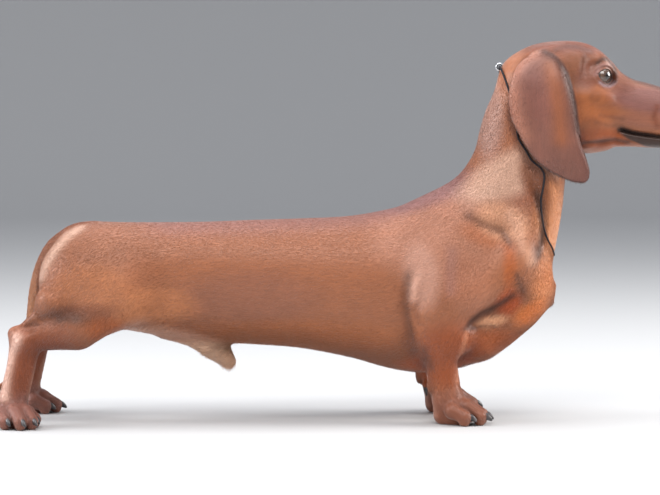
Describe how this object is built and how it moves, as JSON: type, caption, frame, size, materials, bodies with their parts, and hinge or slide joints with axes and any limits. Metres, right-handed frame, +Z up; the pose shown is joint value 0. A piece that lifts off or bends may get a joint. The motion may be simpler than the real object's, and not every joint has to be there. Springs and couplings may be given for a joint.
{
  "type": "dachshund",
  "caption": "Life-size still model of a smooth-haired standard dachshund in a show stance, its head turned slightly, wearing a thin neck cord with a small ring.",
  "frame": {"origin": "on the ground, below the middle of the dog's box", "axes": "+X towards the nose, +Y towards the dog's left side, +Z up"},
  "size_m": [0.7052, 0.1824, 0.3787],
  "materials": {
    "coat": "smooth short coat, red mahogany over orange, with a pinkish sheen on top; low gloss",
    "ear_coat": "very short velvety coat, darker purple brown than the body; low gloss",
    "nose": "moist, finely pebbled black skin of the nose, lips and lids",
    "eye": "wet, dark brown iris round a black pupil",
    "claw": "dark grey horn, satin",
    "collar_cord": "thin twisted dark bluish cord",
    "collar_metal": "small polished wire ring"
  },
  "bodies": {
    "root": {"collar": "collar_cord", "collar_ring": "collar_metal", "ear_left": "ear_coat", "ear_right": "ear_coat", "eye_left": "eye", "eye_right": "eye", "fore_claw_left_1": "claw", "fore_claw_left_2": "claw", "fore_claw_left_3": "claw", "fore_claw_left_4": "claw", "fore_claw_left_5": "claw", "fore_claw_right_1": "claw", "fore_claw_right_2": "claw", "fore_claw_right_3": "claw", "fore_claw_right_4": "claw", "fore_claw_right_5": "claw", "fore_leg_left": "coat", "fore_leg_right": "coat", "fore_paw_left": "coat", "fore_paw_right": "coat", "head": "coat", "hind_claw_left_1": "claw", "hind_claw_left_2": "claw", "hind_claw_left_3": "claw", "hind_claw_left_4": "claw", "hind_claw_right_1": "claw", "hind_claw_right_2": "claw", "hind_claw_right_3": "claw", "hind_claw_right_4": "claw", "hind_leg_left": "coat", "hind_leg_right": "coat", "hind_paw_left": "coat", "hind_paw_right": "coat", "neck": "coat", "nose": "nose", "tail_lower": "coat", "tail_upper": "coat", "torso": "coat"}
  },
  "joints": []
}
